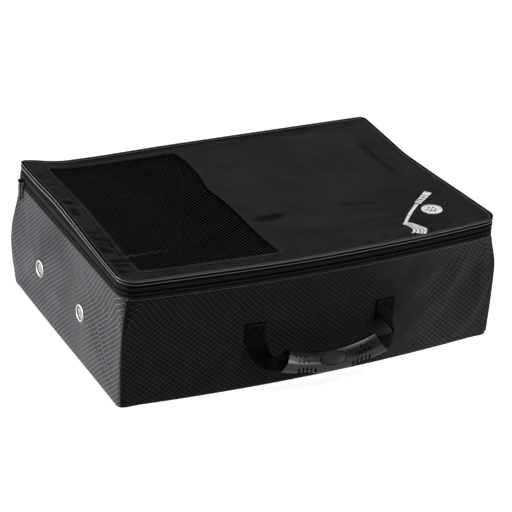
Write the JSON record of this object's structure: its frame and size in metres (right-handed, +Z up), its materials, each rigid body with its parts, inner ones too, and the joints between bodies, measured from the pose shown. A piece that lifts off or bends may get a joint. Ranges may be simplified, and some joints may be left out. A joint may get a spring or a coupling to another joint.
{
  "type": "golf shoe bag",
  "caption": "Soft rectangular zip-up golf shoe case with a hinged lid, a mesh window over the shoe compartment, end vents and a front carrying grip.",
  "frame": {"origin": "middle of the base's underside, on the surface that the bag stands on", "axes": "+Z up; the front, with the handle, faces -Y; the vented end faces -X"},
  "size_m": [0.5066, 0.393, 0.16],
  "materials": {
    "ripstop": "black diamond ripstop polyester with a light coating",
    "lid_nylon": "charcoal plain-weave nylon, soft sheen",
    "mesh": "black open net",
    "binding": "black woven binding tape",
    "zip_tape": "woven zip tape",
    "zip_coil": "black nylon coil",
    "webbing": "black polypropylene webbing",
    "lining": "dark grey taffeta lining",
    "foam": "grey closed-cell foam",
    "board": "stiff fibre board",
    "eyelet_metal": "plated, softly brushed",
    "zip_metal": "black painted zinc, worn at the edges",
    "grip_plastic": "satin moulded plastic",
    "badge_plastic": "satin moulded plastic"
  },
  "bodies": {
    "bag": {"base_panel": "ripstop", "base_board": "board", "front_panel": "ripstop", "rear_panel": "ripstop", "left_end_panel": "ripstop", "right_end_panel": "ripstop", "corner_welts": "binding", "front_foam": "foam", "rear_foam": "foam", "left_foam": "foam", "right_foam": "foam", "lining": "lining", "wall_top_binding": "binding", "divider_cover": "lining", "divider_foam": "foam", "divider_strips": "binding", "vent_caps": "eyelet_metal", "vent_washers": "eyelet_metal", "handle_anchors": "webbing", "handle_backing": "binding", "lower_zip_tape": "zip_tape", "lower_zip_coil": "zip_coil", "lower_zip_stops": "zip_metal", "rear_hinge_strip": "lid_nylon"},
    "lid": {"lid_panel": "lid_nylon", "mesh_window": "mesh", "window_binding": "lid_nylon", "lid_piping": "binding", "lid_seam_binding": "binding", "lid_rear_band": "lid_nylon", "upper_zip_tape": "zip_tape", "upper_zip_coil": "zip_coil", "upper_zip_stops": "zip_metal"},
    "slider": {"zip_slider": "zip_metal"},
    "puller": {"zip_puller": "zip_metal"},
    "handle": {"handle_grip": "grip_plastic", "grip_badge": "badge_plastic", "handle_webbing": "webbing"}
  },
  "joints": [
    {"name": "lid_hinge", "type": "hinge", "parent": "bag", "child": "lid", "pos_m": [0, 0.1703, 0.147], "axis": [-1, 0, 0], "range_deg": [0, 180]},
    {"name": "slider_travel", "type": "slide", "parent": "bag", "child": "slider", "axis": [0, -1, 0], "range_m": [0, 0.285]},
    {"name": "puller_swing", "type": "hinge", "parent": "slider", "child": "puller", "pos_m": [-0.2544, 0.1507, 0.149], "axis": [0, 1, 0], "range_deg": [0, 150]},
    {"name": "handle_swing", "type": "hinge", "parent": "bag", "child": "handle", "pos_m": [0, -0.1849, 0.059], "axis": [-1, 0, 0], "range_deg": [0, 80]}
  ]
}
